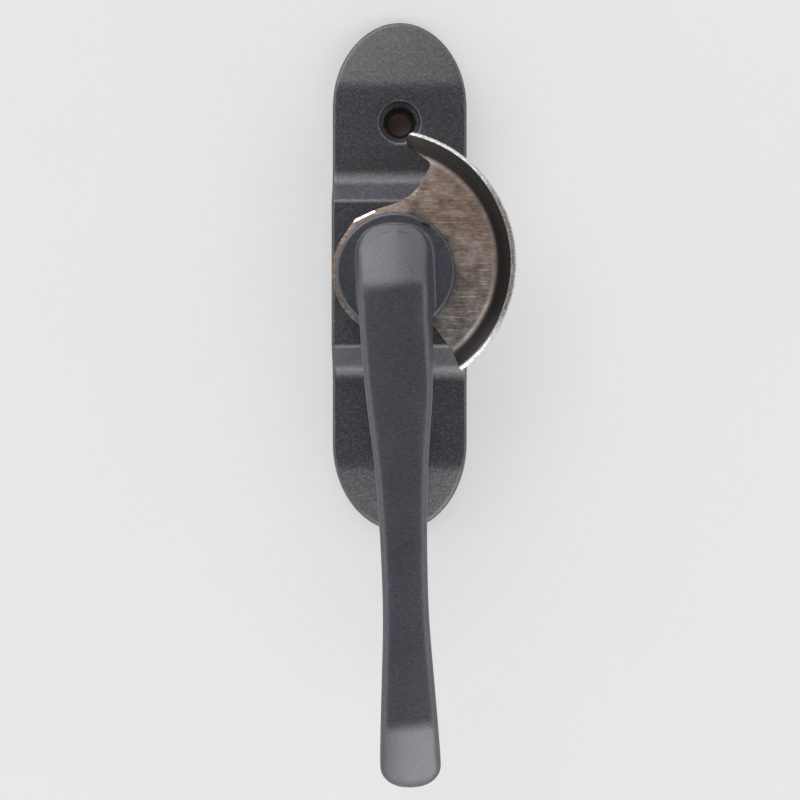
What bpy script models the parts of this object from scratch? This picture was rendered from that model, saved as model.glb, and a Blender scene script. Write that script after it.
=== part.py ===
"""Crescent sash lock with a cranked lever, for a horizontally sliding window.

A die-cast base is screwed to the meeting stile of the inner sash. A cranked lever turns a spindle through
half a turn, and the spindle carries a dished steel crescent, whose rim draws the other sash's keeper in.
Inside the base, two leaf springs press on a two-sided cam, which holds the lever at either end of its
travel, and a stop disc meets a cast lug there.

Frame: the origin is where the spindle's axis meets the mounting plane. +Z points out of the sash into the
room, +Y along the base towards its upper screw hole, and +X towards the keeper. Locked, the lever hangs
towards -Y. Lengths are in metres.
"""

import math

import bmesh
import bpy
from mathutils import Vector

mm = 0.001

# Clearances
FACE_GAP = 0.3 * mm  # between faces that rest on each other
SEAT_GAP = 0.15 * mm  # round a piece that is fixed in its seat
RUN_GAP = 0.08 * mm  # round a shaft that turns in its hole
SPRING_GAP = 0.3 * mm  # between a leaf spring and the cam's flat
COVER_GAP = 0.3 * mm  # round the back plate in its recess
ROUND_SEGMENTS = 64  # sides of a turned piece

# Base casting
BASE_LENGTH = 100.2 * mm
BASE_WIDTH = 26.2 * mm
BASE_END_ROUND = 17.4 * mm  # length of each half-elliptical end
BASE_CENTRELINE_X = 0.8 * mm  # the spindle sits this far off the base's centreline
END_HEIGHT = 1.3 * mm
FLAT_HEIGHT = 5.2 * mm
PLATEAU_HALF_LENGTH = 14.0 * mm
RAMP_RUN = 4.6 * mm
RAMP_FILLET = 4.3 * mm
PLATEAU_ROUND = 1.3 * mm
END_SLOPE_RUN = 13.0 * mm
END_SLOPE_BLEND = 8.0 * mm
BASE_RIM_ROUND = 0.8 * mm
BASE_WALL = 1.8 * mm
FLAT_ROOF = 1.8 * mm
PLATEAU_ROOF = 2.2 * mm
CAVITY_SETBACK = 1.4 * mm  # of the cavity's ramps behind the outer ramps
FEATURE_ROOT = 0.6 * mm  # how deep a boss or a rib is rooted in the roof
CAVITY_CORNER = 3.0 * mm
CAVITY_MARGIN = 12.1 * mm  # solid casting left at each end of the cavity

# Sash screws
SCREW_PITCH = 60.0 * mm
SCREW_BOSS_RADIUS = 5.2 * mm
SCREW_HEAD_RADIUS = 4.25 * mm
SCREW_BORE_RADIUS = 3.05 * mm
SCREW_HOLE_RADIUS = 2.25 * mm

# Back plate and its screws
BACK_PLATE_THICKNESS = 1.0 * mm
COVER_SCREW_X = 8.0 * mm
COVER_SCREW_Y = 22.2 * mm
COVER_POST_RADIUS = 2.4 * mm
COVER_SCREW_LENGTH = 3.4 * mm
COVER_SCREW_RADIUS = 1.25 * mm
COVER_HEAD_RADIUS = 2.2 * mm
COVER_HEAD_SUNK = 0.05 * mm  # below the mounting plane
COVER_RECESS_RADIUS = 1.1 * mm
COVER_RECESS_WIDTH = 0.5 * mm
COVER_RECESS_DEPTH = 0.7 * mm

# Spindle
JOURNAL_RADIUS = 4.0 * mm
SQUARE_SIDE = 8.0 * mm
SQUARE_CORNER = 0.7 * mm
TANG_RADIUS = 3.0 * mm
TANG_FLATS = 4.6 * mm
SQUARE_IN_LEVER = 4.6 * mm

# Upper bearing
BUSH_WALL = 1.0 * mm
BUSH_FLANGE_RADIUS = 11.0 * mm
BUSH_FLANGE = 0.8 * mm
PIVOT_BOSS_RADIUS = 7.6 * mm
PIVOT_BOSS_LENGTH = 2.8 * mm

# Stack under the base's roof, from the boss down to the back plate
THRUST_WASHER = 0.5 * mm
THRUST_WASHER_RADIUS = 6.4 * mm
WAVE_WASHER_SHEET = 0.25 * mm
WAVE_WASHER_RISE = 0.3 * mm
WAVE_WASHER_RADIUS = 6.2 * mm
WAVES = 3
STOP_DISC = 1.0 * mm
STOP_DISC_RADIUS = 6.5 * mm
STOP_TAB_RADIUS = 9.6 * mm
STOP_LUG_RADIUS = 9.9 * mm
STOP_LUG_SPREAD = math.radians(56)
STOP_PLAY = math.radians(1)
TURN = math.radians(180)
DETENT_CAM = 2.4 * mm
DETENT_CAM_RADIUS = 6.0 * mm
DETENT_CAM_FLATS = 8.0 * mm
PLAIN_WASHER = 0.5 * mm
PLAIN_WASHER_RADIUS = 3.6 * mm
LOCK_WASHER = 0.6 * mm
LOCK_WASHER_RADIUS = 2.7 * mm
LOCK_WASHER_SPLIT = 0.5 * mm
RETAINER_HEAD = 1.0 * mm
RETAINER_HEAD_RADIUS = 2.75 * mm
RETAINER_RADIUS = 1.5 * mm
RETAINER_EDGE = 0.35 * mm
RETAINER_RECESS_RADIUS = 1.4 * mm
RETAINER_RECESS_WIDTH = 0.6 * mm
RETAINER_RECESS_DEPTH = 0.6 * mm
RETAINER_IN_LEVER = 2.3 * mm
RETAINER_CLEARANCE = 0.35 * mm  # between its head and the back plate

# Leaf springs
LEAF_SHEET = 0.4 * mm
LEAF_HEIGHT = 2.2 * mm
LEAF_OVERHANG = 0.4 * mm  # of the springs' ends beyond the plateau's edges
LEAF_BOW = 0.9 * mm
LEAF_HOOK = 2.0 * mm
LEAF_RIB_WIDTH = 2.2 * mm

# Crescent: a dished sheet, turned about its own centre and trimmed to an outline about the spindle
CRESCENT_SHEET = 1.3 * mm
CRESCENT_CENTRE = Vector((-2.56, 1.69)) * mm
CRESCENT_RADIUS = 25.4 * mm
CRESCENT_FLAT_RADIUS = 20.4 * mm
CRESCENT_BEND = 2.4 * mm
CRESCENT_FLARE = math.radians(50)
CRESCENT_TAIL = math.radians(-53.5)  # where the rim starts and ends about the crescent's centre
CRESCENT_TIP = math.radians(78.5)
CRESCENT_NOSE = [  # corners between the tip and the throat: x, y, rounding
    (1.35 * mm, 25.6 * mm, 0.9 * mm),
    (3.0 * mm, 23.4 * mm, 3.0 * mm),
    (6.9 * mm, 20.95 * mm, 1.0 * mm),
]
THROAT_CENTRE = Vector((-3.7, 23.0)) * mm
THROAT_RADIUS = 10.5 * mm
THROAT_START = math.radians(-20)
THROAT_END = math.radians(-76)
RING_FACET = [Vector((-4.45, 11.75)) * mm, Vector((-7.7, 10.2)) * mm]
RING_RADIUS = 12.1 * mm
RING_START = math.radians(145)
RING_END = math.radians(306)
CRESCENT_LOWER_EDGE = [Vector((9.75, -13.45)) * mm, Vector((11.25, -15.9)) * mm, Vector((12.15, -18.3)) * mm]

# Lever
HUB_RADIUS = 11.3 * mm
HUB_THICKNESS = 2.8 * mm
HUB_CHAMFER = 0.8 * mm
LEVER_REST_ANGLE = math.radians(1.75)  # locked, the lever hangs this far past the base's long axis
NECK_LENGTH = 8.95 * mm  # above the spindle's axis
NECK_ROUND = 7.0 * mm
NECK_FULLNESS = 2.6
LEVER_REACH = 97.4 * mm  # below the spindle's axis
GRIP_ROUND = 4.6 * mm
GRIP_FULLNESS = 2.25
LEVER_EDGE_WIDTH = 1.8 * mm
LEVER_EDGE_DROP = 2.2 * mm
LEVER_FOOT_WIDTH = 1.4 * mm
LEVER_FOOT_LIFT = 1.8 * mm
EDGE_SHARE = 0.45  # the most of a section's height that either edge round may take
# Half-widths along the lever: share of the reach below the spindle's axis, half-width
LEVER_HALF_WIDTHS = [
    (-0.02, 7.15 * mm),
    (0.06, 7.10 * mm),
    (0.14, 6.85 * mm),
    (0.25, 6.15 * mm),
    (0.37, 5.05 * mm),
    (0.48, 4.48 * mm),
    (0.60, 4.26 * mm),
    (0.68, 4.36 * mm),
    (0.80, 4.98 * mm),
    (0.93, 5.66 * mm),
    (0.97, 5.72 * mm),
]
GRIP_SLOPE_RUN = 12.6 * mm
# The lever's ridge and underside: distance below the spindle's axis, height over the hub's top face, rounding
LEVER_RIDGE = [
    (-NECK_LENGTH, 0.9 * mm, 0.0),
    (3.0 * mm, 8.7 * mm, 5.0 * mm),
    (52.0 * mm, 10.0 * mm, 60.0 * mm),
    (LEVER_REACH - GRIP_SLOPE_RUN, 9.4 * mm, 6.0 * mm),
    (LEVER_REACH, 2.5 * mm, 0.0),
]
LEVER_UNDERSIDE = [
    (-NECK_LENGTH, -1.0 * mm, 0.0),
    (9.0 * mm, -1.0 * mm, 0.6 * mm),
    (12.5 * mm, 1.5 * mm, 2.0 * mm),
    (60.0 * mm, 1.3 * mm, 60.0 * mm),
    (LEVER_REACH, -0.3 * mm, 0.0),
]

# Heights that follow from the sizes above
RETAINER_HEAD_FOOT = BACK_PLATE_THICKNESS + RETAINER_CLEARANCE
LOCK_WASHER_FOOT = RETAINER_HEAD_FOOT + RETAINER_HEAD + FACE_GAP / 2
PLAIN_WASHER_FOOT = LOCK_WASHER_FOOT + LOCK_WASHER + FACE_GAP / 2
DETENT_CAM_FOOT = PLAIN_WASHER_FOOT + PLAIN_WASHER + FACE_GAP
STOP_DISC_FOOT = DETENT_CAM_FOOT + DETENT_CAM + FACE_GAP
WAVE_WASHER_FOOT = STOP_DISC_FOOT + STOP_DISC + FACE_GAP
THRUST_WASHER_FOOT = WAVE_WASHER_FOOT + WAVE_WASHER_SHEET + WAVE_WASHER_RISE + FACE_GAP
PIVOT_BOSS_FOOT = THRUST_WASHER_FOOT + THRUST_WASHER + FACE_GAP
PLATEAU_HEIGHT = PIVOT_BOSS_FOOT + PIVOT_BOSS_LENGTH
CAVITY_HALF_LENGTH = BASE_LENGTH / 2 - CAVITY_MARGIN
CAVITY_HALF_WIDTH = BASE_WIDTH / 2 - BASE_WALL
BUSH_FLANGE_TOP = PLATEAU_HEIGHT + FACE_GAP + BUSH_FLANGE
CRESCENT_FOOT = BUSH_FLANGE_TOP + FACE_GAP
HUB_FOOT = CRESCENT_FOOT + CRESCENT_SHEET + FACE_GAP
HUB_TOP = HUB_FOOT + HUB_THICKNESS
BUSH_RADIUS = JOURNAL_RADIUS + RUN_GAP + BUSH_WALL
SQUARE_TOP = HUB_FOOT + SQUARE_IN_LEVER
RETAINER_TIP = SQUARE_TOP + FACE_GAP + RETAINER_IN_LEVER
LEAF_FOOT = DETENT_CAM_FOOT + (DETENT_CAM - LEAF_HEIGHT) / 2
LEAF_X = DETENT_CAM_FLATS / 2 + SPRING_GAP
LEAF_HALF_LENGTH = PLATEAU_HALF_LENGTH + LEAF_OVERHANG


# ---------------------------------------------------------------- outlines


def arc(centre, radius, start, end, count):
    """Points on a circle from angle start to angle end, both included."""
    steps = [start + (end - start) * i / count for i in range(count + 1)]
    return [Vector((centre[0] + radius * math.cos(a), centre[1] + radius * math.sin(a))) for a in steps]


def rounded(corners, closed=True, step=math.radians(12)):
    """Points along straight runs between (x, y, radius) corners, each corner rounded to its radius."""
    points = []
    for i, (x, y, radius) in enumerate(corners):
        here = Vector((x, y))
        if radius <= 0 or (not closed and i in (0, len(corners) - 1)):
            points.append(here)
            continue
        back = (Vector(corners[i - 1][:2]) - here).normalized()
        on = (Vector(corners[(i + 1) % len(corners)][:2]) - here).normalized()
        half = back.angle(on) / 2
        centre = here + (back + on).normalized() * (radius / math.sin(half))
        first = here + back * (radius / math.tan(half)) - centre
        last = here + on * (radius / math.tan(half)) - centre
        sweep = first.angle_signed(last)
        count = max(1, math.ceil(abs(sweep) / step))
        start = math.atan2(first.y, first.x)
        points += arc(centre, radius, start, start - sweep, count)
    return points


def circle(radius, centre=(0, 0), count=ROUND_SEGMENTS):
    return arc(centre, radius, 0, 2 * math.pi, count)[:-1]


def two_flats(radius, flats):
    """A circle with two flats that face +X and -X, this far across."""
    half = math.acos(flats / 2 / radius)
    count = ROUND_SEGMENTS // 4
    upper = arc((0, 0), radius, half, math.pi - half, count)
    return upper + [Vector((-p.x, -p.y)) for p in upper]


def square(side, corner):
    half = side / 2
    corners = [(half, half), (-half, half), (-half, -half), (half, -half)]
    return rounded([(x, y, corner) for x, y in corners])


def moved(points, x=0.0, y=0.0):
    return [Vector((p[0] + x, p[1] + y)) for p in points]


def height_along(line, y):
    """The height of a line of points at y, its first coordinate, which rises along the line."""
    if y <= line[0][0]:
        return line[0][1]
    for near, far in zip(line, line[1:]):
        if y <= far[0]:
            return near[1] + (far[1] - near[1]) * (y - near[0]) / (far[0] - near[0])
    return line[-1][1]


def smooth_along(points, y):
    """A smooth curve through (y, value) points, read at y."""
    if y <= points[0][0]:
        return points[0][1]
    for i in range(len(points) - 1):
        (y0, v0), (y1, v1) = points[i], points[i + 1]
        if y <= y1:
            before, after = points[max(i - 1, 0)], points[min(i + 2, len(points) - 1)]
            slope0 = (v1 - before[1]) / (y1 - before[0])
            slope1 = (after[1] - v0) / (after[0] - y0)
            t, span = (y - y0) / (y1 - y0), y1 - y0
            return (
                v0 * (1 + 2 * t) * (1 - t) ** 2
                + slope0 * span * t * (1 - t) ** 2
                + v1 * t * t * (3 - 2 * t)
                + slope1 * span * t * t * (t - 1)
            )
    return points[-1][1]


# ---------------------------------------------------------------- solids


def add_object(name, bm, material=None):
    bmesh.ops.recalc_face_normals(bm, faces=bm.faces)
    mesh = bpy.data.meshes.new(name)
    bm.to_mesh(mesh)
    bm.free()
    mesh.shade_smooth()
    mesh.set_sharp_from_angle(angle=math.radians(30))
    piece = bpy.data.objects.new(name, mesh)
    bpy.context.scene.collection.objects.link(piece)
    if material:
        mesh.materials.append(material)
    return piece


def prism(name, outline, low, high, material=None):
    """The outline drawn in X and Y, extruded from low to high."""
    bm = bmesh.new()
    floor = bm.faces.new([bm.verts.new((p[0], p[1], low)) for p in outline])
    grown = bmesh.ops.extrude_face_region(bm, geom=[floor])["geom"]
    top = [g for g in grown if isinstance(g, bmesh.types.BMVert)]
    bmesh.ops.translate(bm, vec=(0, 0, high - low), verts=top)
    return add_object(name, bm, material)


def turned(name, profile, material=None, centre=(0, 0), count=ROUND_SEGMENTS):
    """A closed (radius, height) profile spun about a vertical axis. A radius of 0 lies on the axis."""
    bm = bmesh.new()
    verts = [bm.verts.new((centre[0] + r, centre[1], z)) for r, z in profile]
    pairs = zip([verts[-1]] + verts[:-1], verts, [profile[-1]] + profile[:-1], profile)
    edges = [bm.edges.new((a, b)) for a, b, pa, pb in pairs if pa[0] > 0 or pb[0] > 0]
    bmesh.ops.spin(
        bm,
        geom=verts + edges,
        axis=(0, 0, 1),
        cent=(centre[0], centre[1], 0),
        angle=2 * math.pi,
        steps=count,
        use_merge=True,
    )
    bmesh.ops.remove_doubles(bm, verts=bm.verts, dist=0.001 * mm)
    bmesh.ops.dissolve_degenerate(bm, edges=bm.edges, dist=0.001 * mm)
    return add_object(name, bm, material)


def tube(name, bore, radius, low, high, material=None, centre=(0, 0)):
    return turned(name, [(bore, low), (radius, low), (radius, high), (bore, high)], material, centre)


def rod(name, radius, low, high, centre=(0, 0)):
    return prism(name, circle(radius, centre), low, high)


def helper(piece):
    """A cutter, or a shape that is joined into another piece."""
    piece.hide_render = True
    piece.display_type = "WIRE"
    return piece


def combine(piece, other, operation):
    step = piece.modifiers.new(f"{operation} {other.name}", "BOOLEAN")
    step.operation = operation
    step.solver = "EXACT"
    step.object = helper(other)


def block(name, half_width, stations, top, foot, rim, foot_rim, material=None, centre_x=0.0):
    """A solid that is symmetric about its long axis, Y: half_width(y) wide, between foot(y) and top(y).

    rim and foot_rim are lists of (inset, drop) that round its upper and its lower edge.
    """
    right = [Vector((half_width(y), y)) for y in stations]
    loop = right + [Vector((-p.x, p.y)) for p in right[-2:0:-1]]
    total = len(loop)
    inward = []
    for i in range(total):
        along = loop[(i + 1) % total] - loop[i - 1]
        inward.append(Vector((-along.y, along.x)).normalized())
    bm = bmesh.new()

    def ring(inset, drop, deepest, from_top):
        verts = []
        for p in [p + n * inset for p, n in zip(loop, inward)]:
            high, low = top(p.y), foot(p.y)
            fit = min(1.0, EDGE_SHARE * (high - low) / deepest) if deepest else 1.0
            z = high - drop * fit if from_top else low + drop * fit
            verts.append(bm.verts.new((centre_x + p.x, p.y, z)))
        return verts

    rings = [ring(inset, drop, foot_rim[0][1], False) for inset, drop in reversed(foot_rim)]
    rings += [ring(inset, drop, rim[0][1], True) for inset, drop in rim]
    for lower, upper in zip(rings, rings[1:]):
        for i in range(total):
            j = (i + 1) % total
            bm.faces.new((lower[i], lower[j], upper[j], upper[i]))
    last = len(right) - 1
    for cap in (rings[0], rings[-1]):
        for i in range(last):
            row = [cap[i], cap[i + 1], cap[-(i + 1) % total], cap[-i % total]]
            bm.faces.new(list(dict.fromkeys(row)))
    return add_object(name, bm, material)


def edge_round(width, drop, count):
    """(inset, drop) pairs of a quarter ellipse, from the side wall to the face."""
    turns = [math.pi / 2 * i / count for i in range(count + 1)]
    return [(width * (1 - math.cos(t)), drop * (1 - math.sin(t))) for t in turns]


def make_material(name, colour, roughness, metallic):
    material = bpy.data.materials.new(name)
    material.use_nodes = True
    shader = material.node_tree.nodes["Principled BSDF"]
    shader.inputs["Base Color"].default_value = (*colour, 1)
    shader.inputs["Roughness"].default_value = roughness
    shader.inputs["Metallic"].default_value = metallic
    return material


# ---------------------------------------------------------------- base


def base_profile():
    """The casting's outer height along Y."""
    flat = PLATEAU_HALF_LENGTH + RAMP_RUN
    slope = BASE_LENGTH / 2 - END_SLOPE_RUN
    half = [
        (BASE_LENGTH / 2, END_HEIGHT, 0.0),
        (slope, FLAT_HEIGHT, END_SLOPE_BLEND),
        (flat, FLAT_HEIGHT, RAMP_FILLET),
        (PLATEAU_HALF_LENGTH, PLATEAU_HEIGHT, PLATEAU_ROUND),
    ]
    return rounded([(-y, z, r) for y, z, r in half] + half[::-1], closed=False)


def base_half_width(y):
    straight = BASE_LENGTH / 2 - BASE_END_ROUND
    beyond = max(0.0, abs(y) - straight) / BASE_END_ROUND
    return BASE_WIDTH / 2 * math.sqrt(max(0.0, 1 - beyond * beyond))


def end_stations(start, length, count):
    """Stations that crowd towards the far end of a rounded end."""
    return [start + length * math.sin(math.pi / 2 * i / count) for i in range(1, count + 1)]


def make_base(coat):
    profile = base_profile()
    round_end = end_stations(BASE_LENGTH / 2 - BASE_END_ROUND, BASE_END_ROUND, 9)
    stations = round_end + [-y for y in round_end] + [p.x for p in profile[1:-1]]
    stations = sorted({round(y, 7) for y in stations})
    base = block(
        "base_housing",
        base_half_width,
        stations,
        top=lambda y: height_along(profile, y),
        foot=lambda y: 0.0,
        rim=edge_round(BASE_RIM_ROUND, BASE_RIM_ROUND, 3),
        foot_rim=[(0.0, 0.0)],
        material=coat,
        centre_x=BASE_CENTRELINE_X,
    )
    combine(base, make_cavity(), "DIFFERENCE")
    for feature in cast_features():
        combine(base, feature, "UNION")
    for cutter in base_cutters():
        combine(base, cutter, "DIFFERENCE")
    return base


def cavity_outline(inset=0.0):
    x, y = CAVITY_HALF_WIDTH - inset, CAVITY_HALF_LENGTH - inset
    corners = [(x, y), (-x, y), (-x, -y), (x, -y)]
    outline = rounded([(*corner, CAVITY_CORNER) for corner in corners])
    return moved(outline, x=BASE_CENTRELINE_X)


def cavity_roof_profile():
    """The cavity's side view: the roof's underside over Y, closed below the mounting plane."""
    plateau = PLATEAU_HALF_LENGTH - CAVITY_SETBACK
    foot = plateau + RAMP_RUN
    end = CAVITY_HALF_LENGTH + 1.0 * mm
    high, low = PLATEAU_HEIGHT - PLATEAU_ROOF, FLAT_HEIGHT - FLAT_ROOF
    side = [(end, -1.0 * mm), (end, low), (foot, low), (plateau, high)]
    return side + [(-y, z) for y, z in side[::-1]]


def make_cavity():
    bm = bmesh.new()
    reach = BASE_WIDTH
    face = bm.faces.new([bm.verts.new((-reach, y, z)) for y, z in cavity_roof_profile()])
    grown = bmesh.ops.extrude_face_region(bm, geom=[face])["geom"]
    far_side = [g for g in grown if isinstance(g, bmesh.types.BMVert)]
    bmesh.ops.translate(bm, vec=(2 * reach, 0, 0), verts=far_side)
    cavity = add_object("cavity", bm)
    plan = prism("cavity_plan", cavity_outline(), -2.0 * mm, PLATEAU_HEIGHT)
    combine(cavity, plan, "INTERSECT")
    return cavity


def corners_of(x, y):
    return [(BASE_CENTRELINE_X + sx * x, sy * y) for sx in (-1, 1) for sy in (-1, 1)]


def cast_features():
    """The casting's inner features, which all grow down from its roof."""
    foot = BACK_PLATE_THICKNESS + FACE_GAP
    low_root = FLAT_HEIGHT - FLAT_ROOF + FEATURE_ROOT
    features = [rod("pivot_boss", PIVOT_BOSS_RADIUS, PIVOT_BOSS_FOOT, plateau_root())]
    for end in (-1, 1):
        place = (BASE_CENTRELINE_X, end * SCREW_PITCH / 2)
        features.append(rod(f"screw_boss_{end}", SCREW_BOSS_RADIUS, foot, low_root, place))
    for i, place in enumerate(corners_of(COVER_SCREW_X, COVER_SCREW_Y)):
        features.append(rod(f"cover_post_{i + 1}", COVER_POST_RADIUS, foot, low_root, place))
    return features + [stop_lug()] + spring_ribs()


def plateau_root():
    return PLATEAU_HEIGHT - PLATEAU_ROOF + FEATURE_ROOT


def stop_lug():
    """A sector that hangs from the roof on the lever's side and meets the stop disc's tab at both ends."""
    middle, half = -math.pi / 2, STOP_LUG_SPREAD / 2
    inner = STOP_DISC_RADIUS + 2 * FACE_GAP
    outline = arc((0, 0), STOP_LUG_RADIUS, middle - half, middle + half, 10)
    outline += arc((0, 0), inner, middle + half, middle - half, 10)
    return prism("stop_lug", outline, STOP_DISC_FOOT, plateau_root())


def spring_ribs():
    """Four ribs from the side walls, which the leaf springs' ends bear on."""
    ribs = []
    near = LEAF_HALF_LENGTH - FACE_GAP
    inner = LEAF_X + LEAF_BOW + LEAF_SHEET + FACE_GAP
    wall = CAVITY_HALF_WIDTH + BASE_WALL / 2
    for side in (-1, 1):
        for end in (-1, 1):
            x = sorted((side * inner, BASE_CENTRELINE_X + side * wall))
            y = sorted((end * near, end * (near - LEAF_RIB_WIDTH)))
            outline = [(x[0], y[0]), (x[1], y[0]), (x[1], y[1]), (x[0], y[1])]
            ribs.append(prism(f"spring_rib_{len(ribs) + 1}", outline, LEAF_FOOT, plateau_root()))
    return ribs


def base_cutters():
    head_depth = SCREW_HEAD_RADIUS - SCREW_BORE_RADIUS
    over = 1.0 * mm
    cutters = [rod("pivot_bore", BUSH_RADIUS + SEAT_GAP, PIVOT_BOSS_FOOT - over, PLATEAU_HEIGHT + over)]
    for end in (-1, 1):
        profile = [
            (0.0, -over),
            (SCREW_BORE_RADIUS, -over),
            (SCREW_BORE_RADIUS, FLAT_HEIGHT - head_depth),
            (SCREW_HEAD_RADIUS + over, FLAT_HEIGHT + over),
            (0.0, FLAT_HEIGHT + over),
        ]
        place = (BASE_CENTRELINE_X, end * SCREW_PITCH / 2)
        cutters.append(turned(f"screw_seat_{end}", profile, centre=place, count=ROUND_SEGMENTS // 2))
    depth = COVER_SCREW_LENGTH + FACE_GAP
    for i, place in enumerate(corners_of(COVER_SCREW_X, COVER_SCREW_Y)):
        radius = COVER_SCREW_RADIUS + SEAT_GAP
        hole = prism(f"cover_screw_hole_{i + 1}", circle(radius, place, 24), -over, depth)
        cutters.append(hole)
    return cutters


def make_back_plate(zinc):
    plate = prism("back_plate", cavity_outline(COVER_GAP), 0.0, BACK_PLATE_THICKNESS, zinc)
    for end in (-1, 1):
        place = (BASE_CENTRELINE_X, end * SCREW_PITCH / 2)
        hole = prism(f"sash_screw_hole_{end}", circle(SCREW_HOLE_RADIUS, place, 32), -1.0 * mm, 2.0 * mm)
        combine(plate, hole, "DIFFERENCE")
    for i, place in enumerate(corners_of(COVER_SCREW_X, COVER_SCREW_Y)):
        reach = 1.0 * mm
        slope = (COVER_HEAD_RADIUS - COVER_SCREW_RADIUS) / BACK_PLATE_THICKNESS
        wide = COVER_HEAD_RADIUS + SEAT_GAP + slope * reach
        narrow = COVER_SCREW_RADIUS + SEAT_GAP
        top = BACK_PLATE_THICKNESS + reach
        profile = [(0.0, -reach), (wide, -reach), (narrow, BACK_PLATE_THICKNESS), (narrow, top), (0.0, top)]
        seat = turned(f"cover_screw_seat_{i + 1}", profile, centre=place, count=24)
        combine(plate, seat, "DIFFERENCE")
    return plate


def cross_recess(name, radius, width, low, high, place=(0.0, 0.0)):
    """A cutter for a cross-head recess."""
    arm = width / 2
    corners = [(radius, arm), (arm, arm), (arm, radius)]
    outline = []
    for quarter in range(4):
        turn = math.pi / 2 * quarter
        for x, y in corners:
            outline.append((x * math.cos(turn) - y * math.sin(turn), x * math.sin(turn) + y * math.cos(turn)))
    return prism(name, moved(outline, *place), low, high)


def make_cover_screws(steel):
    for i, place in enumerate(corners_of(COVER_SCREW_X, COVER_SCREW_Y)):
        profile = [
            (0.0, COVER_HEAD_SUNK),
            (COVER_HEAD_RADIUS, COVER_HEAD_SUNK),
            (COVER_SCREW_RADIUS, BACK_PLATE_THICKNESS),
            (COVER_SCREW_RADIUS, COVER_SCREW_LENGTH - COVER_SCREW_RADIUS / 2),
            (COVER_SCREW_RADIUS / 2, COVER_SCREW_LENGTH),
            (0.0, COVER_SCREW_LENGTH),
        ]
        screw = turned(f"cover_screw_{i + 1}", profile, steel, place, count=24)
        recess = cross_recess(
            f"cover_recess_{i + 1}",
            COVER_RECESS_RADIUS,
            COVER_RECESS_WIDTH,
            low=-1.0 * mm,
            high=COVER_RECESS_DEPTH,
            place=place,
        )
        combine(screw, recess, "DIFFERENCE")


# ---------------------------------------------------------------- bearing and detent


def make_bush(nylon):
    """The flanged bush that the spindle turns in. The crescent turns on its flange."""
    foot = PLATEAU_HEIGHT + FACE_GAP
    bore = JOURNAL_RADIUS + RUN_GAP
    profile = [
        (bore, PIVOT_BOSS_FOOT),
        (BUSH_RADIUS, PIVOT_BOSS_FOOT),
        (BUSH_RADIUS, foot),
        (BUSH_FLANGE_RADIUS, foot),
        (BUSH_FLANGE_RADIUS, BUSH_FLANGE_TOP),
        (bore, BUSH_FLANGE_TOP),
    ]
    return turned("flanged_bush", profile, nylon)


def make_thrust_washer(nylon):
    bore = JOURNAL_RADIUS + RUN_GAP
    top = THRUST_WASHER_FOOT + THRUST_WASHER
    return tube("thrust_washer", bore, THRUST_WASHER_RADIUS, THRUST_WASHER_FOOT, top, nylon)


def make_wave_washer(spring_steel):
    """A thin ring in three waves, which takes up the play along the spindle."""
    bore = JOURNAL_RADIUS + SEAT_GAP
    bm = bmesh.new()
    rings = []
    for radius, lift in (
        (bore, 0.0),
        (WAVE_WASHER_RADIUS, 0.0),
        (WAVE_WASHER_RADIUS, WAVE_WASHER_SHEET),
        (bore, WAVE_WASHER_SHEET),
    ):
        ring = []
        for i, p in enumerate(circle(radius)):
            wave = WAVE_WASHER_RISE * (1 + math.cos(2 * math.pi * WAVES * i / ROUND_SEGMENTS)) / 2
            ring.append(bm.verts.new((p.x, p.y, WAVE_WASHER_FOOT + lift + wave)))
        rings.append(ring)
    for here, after in zip(rings, rings[1:] + rings[:1]):
        for i in range(ROUND_SEGMENTS):
            j = (i + 1) % ROUND_SEGMENTS
            bm.faces.new((here[i], here[j], after[j], after[i]))
    return add_object("wave_washer", bm, spring_steel)


def make_stop_disc(steel):
    """A disc keyed on the spindle's tang, with a tab that swings between the cast lug's two faces."""
    spread = 2 * math.pi - TURN - STOP_LUG_SPREAD - 2 * STOP_PLAY
    start = -math.pi / 2 - STOP_LUG_SPREAD / 2 - STOP_PLAY - spread
    outline = arc((0, 0), STOP_TAB_RADIUS, start, start + spread, 24)
    outline += arc((0, 0), STOP_DISC_RADIUS, start + spread, start + 2 * math.pi, 36)
    disc = prism("stop_disc", outline, STOP_DISC_FOOT, STOP_DISC_FOOT + STOP_DISC, steel)
    combine(disc, tang_hole("stop_disc_hole"), "DIFFERENCE")
    return disc


def tang_hole(name):
    outline = two_flats(TANG_RADIUS + RUN_GAP, TANG_FLATS + 2 * RUN_GAP)
    return prism(name, outline, 0.0, PLATEAU_HEIGHT)


def make_detent_cam(nylon):
    """The two-sided cam: its flats lie along the leaf springs at both ends of the lever's travel."""
    outline = two_flats(DETENT_CAM_RADIUS, DETENT_CAM_FLATS)
    cam = prism("detent_cam", outline, DETENT_CAM_FOOT, DETENT_CAM_FOOT + DETENT_CAM, nylon)
    combine(cam, tang_hole("detent_cam_hole"), "DIFFERENCE")
    return cam


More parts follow.
